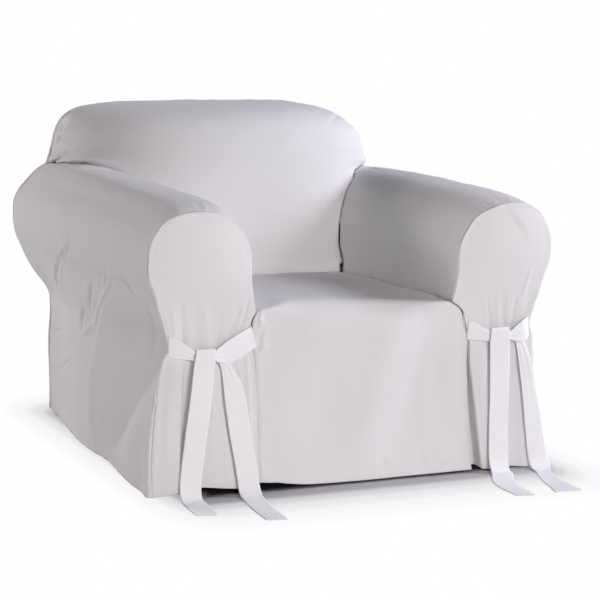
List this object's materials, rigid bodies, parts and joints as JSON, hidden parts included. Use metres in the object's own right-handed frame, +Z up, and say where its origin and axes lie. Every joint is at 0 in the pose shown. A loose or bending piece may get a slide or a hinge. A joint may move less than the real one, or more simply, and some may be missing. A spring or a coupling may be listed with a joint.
{
  "type": "chair slipcover",
  "caption": "Fitted white cotton slipcover for a rolled-arm club chair, open below, with tie straps knotted across the arm fronts.",
  "frame": {"origin": "on the floor, under the middle of the box round the cover and the tie ends that lie in front of it", "axes": "+X to the right of someone facing the chair, +Y to the back of the chair, +Z up"},
  "size_m": [1.0229, 1.2349, 0.8144],
  "materials": {
    "cover_cloth": "plain-woven white cotton duck, matt, softly creased",
    "tie_cloth": "the same white cotton duck, doubled and pressed flat"
  },
  "bodies": {
    "root": {"arm_left": "cover_cloth", "arm_right": "cover_cloth", "arm_front_left": "cover_cloth", "arm_front_right": "cover_cloth", "seat": "cover_cloth", "inside_back": "cover_cloth", "outside_back": "cover_cloth", "tie_left_outer": "tie_cloth", "tie_left_inner": "tie_cloth", "tie_right_outer": "tie_cloth", "tie_right_inner": "tie_cloth"}
  },
  "joints": []
}
